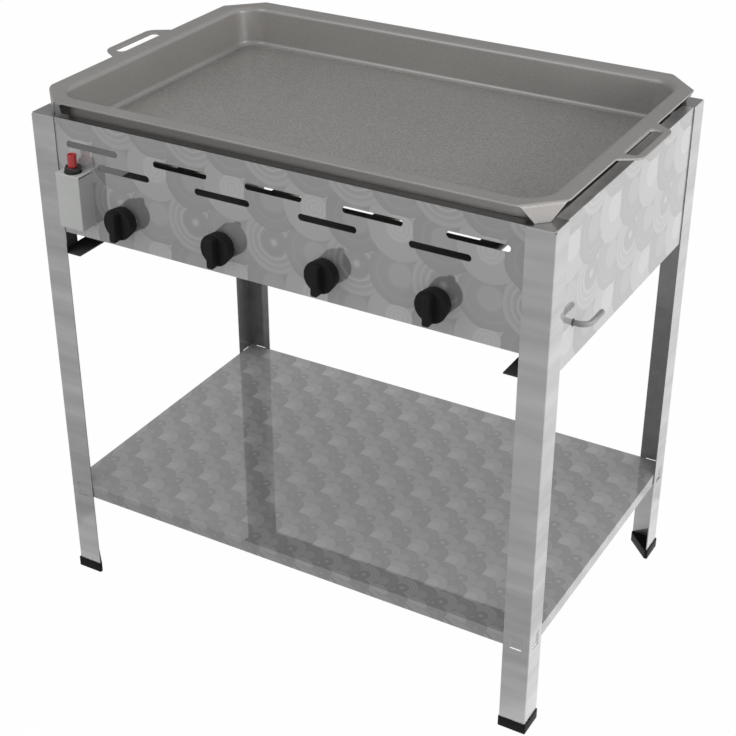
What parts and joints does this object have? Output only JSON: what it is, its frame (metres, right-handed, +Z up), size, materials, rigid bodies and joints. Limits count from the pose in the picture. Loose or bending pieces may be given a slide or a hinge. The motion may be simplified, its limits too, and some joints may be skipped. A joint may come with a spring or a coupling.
{
  "type": "gas griddle pan",
  "caption": "Gas griddle: a deep steel pan with loop handles on a sheet-steel stand with burners, push-and-turn knobs, a piezo igniter and a lower shelf.",
  "frame": {"origin": "on the floor under the middle of the four legs", "axes": "+X to the right along the front, +Y to the back, +Z up"},
  "size_m": [0.874, 0.571, 0.833],
  "materials": {
    "enamelled_pan": "baked grey coating",
    "marbled_steel": "circle-marbled",
    "leg_steel": "satin",
    "black_paint": "satin black",
    "tube_steel": "plain",
    "spring_steel": "plain",
    "screw_steel": "zinc plated",
    "black_plastic": "matt",
    "knob_plastic": "satin",
    "grey_paint": "light grey",
    "red_plastic": "gloss",
    "lead_rubber": "matt",
    "ceramic": "unglazed",
    "valve_brass": "plain"
  },
  "bodies": {
    "stand": {"base_rail_left": "black_paint", "base_rail_right": "black_paint", "burner_1": "tube_steel", "burner_2": "tube_steel", "burner_3": "tube_steel", "burner_4": "tube_steel", "burner_rear_bracket": "tube_steel", "electrode_bracket": "tube_steel", "electrode_ceramic": "ceramic", "electrode_wire": "tube_steel", "foot_cap_back_left": "black_plastic", "foot_cap_back_right": "black_plastic", "foot_cap_front_left": "black_plastic", "foot_cap_front_right": "black_plastic", "front_panel": "marbled_steel", "gas_inlet_pipe": "tube_steel", "gas_manifold": "tube_steel", "igniter_body": "black_plastic", "igniter_box": "grey_paint", "igniter_nut": "black_plastic", "igniter_spring": "spring_steel", "ignition_lead": "lead_rubber", "injector_1": "valve_brass", "injector_2": "valve_brass", "injector_3": "valve_brass", "injector_4": "valve_brass", "lead_grommet": "lead_rubber", "left_side_panel": "marbled_steel", "leg_back_left": "leg_steel", "leg_back_right": "leg_steel", "leg_front_left": "leg_steel", "leg_front_right": "leg_steel", "panel_screws": "screw_steel", "rear_panel": "marbled_steel", "right_side_panel": "marbled_steel", "shelf": "marbled_steel", "valve_body_1": "valve_brass", "valve_body_2": "valve_brass", "valve_body_3": "valve_brass", "valve_body_4": "valve_brass", "valve_heat_shield": "black_paint"},
    "pan": {"pan": "enamelled_pan"},
    "button": {"igniter_button": "red_plastic"},
    "valve_1": {"valve_plug_1": "valve_brass", "valve_spring_1": "spring_steel"},
    "knob_1": {"knob_1": "knob_plastic", "valve_stem_1": "tube_steel"},
    "valve_2": {"valve_plug_2": "valve_brass", "valve_spring_2": "spring_steel"},
    "knob_2": {"knob_2": "knob_plastic", "valve_stem_2": "tube_steel"},
    "valve_3": {"valve_plug_3": "valve_brass", "valve_spring_3": "spring_steel"},
    "knob_3": {"knob_3": "knob_plastic", "valve_stem_3": "tube_steel"},
    "valve_4": {"valve_plug_4": "valve_brass", "valve_spring_4": "spring_steel"},
    "knob_4": {"knob_4": "knob_plastic", "valve_stem_4": "tube_steel"}
  },
  "joints": [
    {"name": "pan_lift", "type": "slide", "parent": "stand", "child": "pan", "axis": [0, 0, 1], "range_m": [0, 0.2]},
    {"name": "button_press", "type": "slide", "parent": "stand", "child": "button", "axis": [0, 0, -1], "range_m": [0, 0.009], "stiffness_N_per_m": 1500, "deforming": ["igniter_spring"]},
    {"name": "valve_turn_1", "type": "hinge", "parent": "stand", "child": "valve_1", "pos_m": [-0.2515, -0.2625, 0.673], "axis": [0, -1, 0], "range_deg": [0, 180]},
    {"name": "knob_push_1", "type": "slide", "parent": "valve_1", "child": "knob_1", "axis": [0, 1, 0], "range_m": [0, 0.003], "stiffness_N_per_m": 1200, "deforming": ["valve_spring_1"]},
    {"name": "valve_turn_2", "type": "hinge", "parent": "stand", "child": "valve_2", "pos_m": [-0.08383, -0.2625, 0.673], "axis": [0, -1, 0], "range_deg": [0, 180]},
    {"name": "knob_push_2", "type": "slide", "parent": "valve_2", "child": "knob_2", "axis": [0, 1, 0], "range_m": [0, 0.003], "stiffness_N_per_m": 1200, "deforming": ["valve_spring_2"]},
    {"name": "valve_turn_3", "type": "hinge", "parent": "stand", "child": "valve_3", "pos_m": [0.08383, -0.2625, 0.673], "axis": [0, -1, 0], "range_deg": [0, 180]},
    {"name": "knob_push_3", "type": "slide", "parent": "valve_3", "child": "knob_3", "axis": [0, 1, 0], "range_m": [0, 0.003], "stiffness_N_per_m": 1200, "deforming": ["valve_spring_3"]},
    {"name": "valve_turn_4", "type": "hinge", "parent": "stand", "child": "valve_4", "pos_m": [0.2515, -0.2625, 0.673], "axis": [0, -1, 0], "range_deg": [0, 180]},
    {"name": "knob_push_4", "type": "slide", "parent": "valve_4", "child": "knob_4", "axis": [0, 1, 0], "range_m": [0, 0.003], "stiffness_N_per_m": 1200, "deforming": ["valve_spring_4"]}
  ]
}
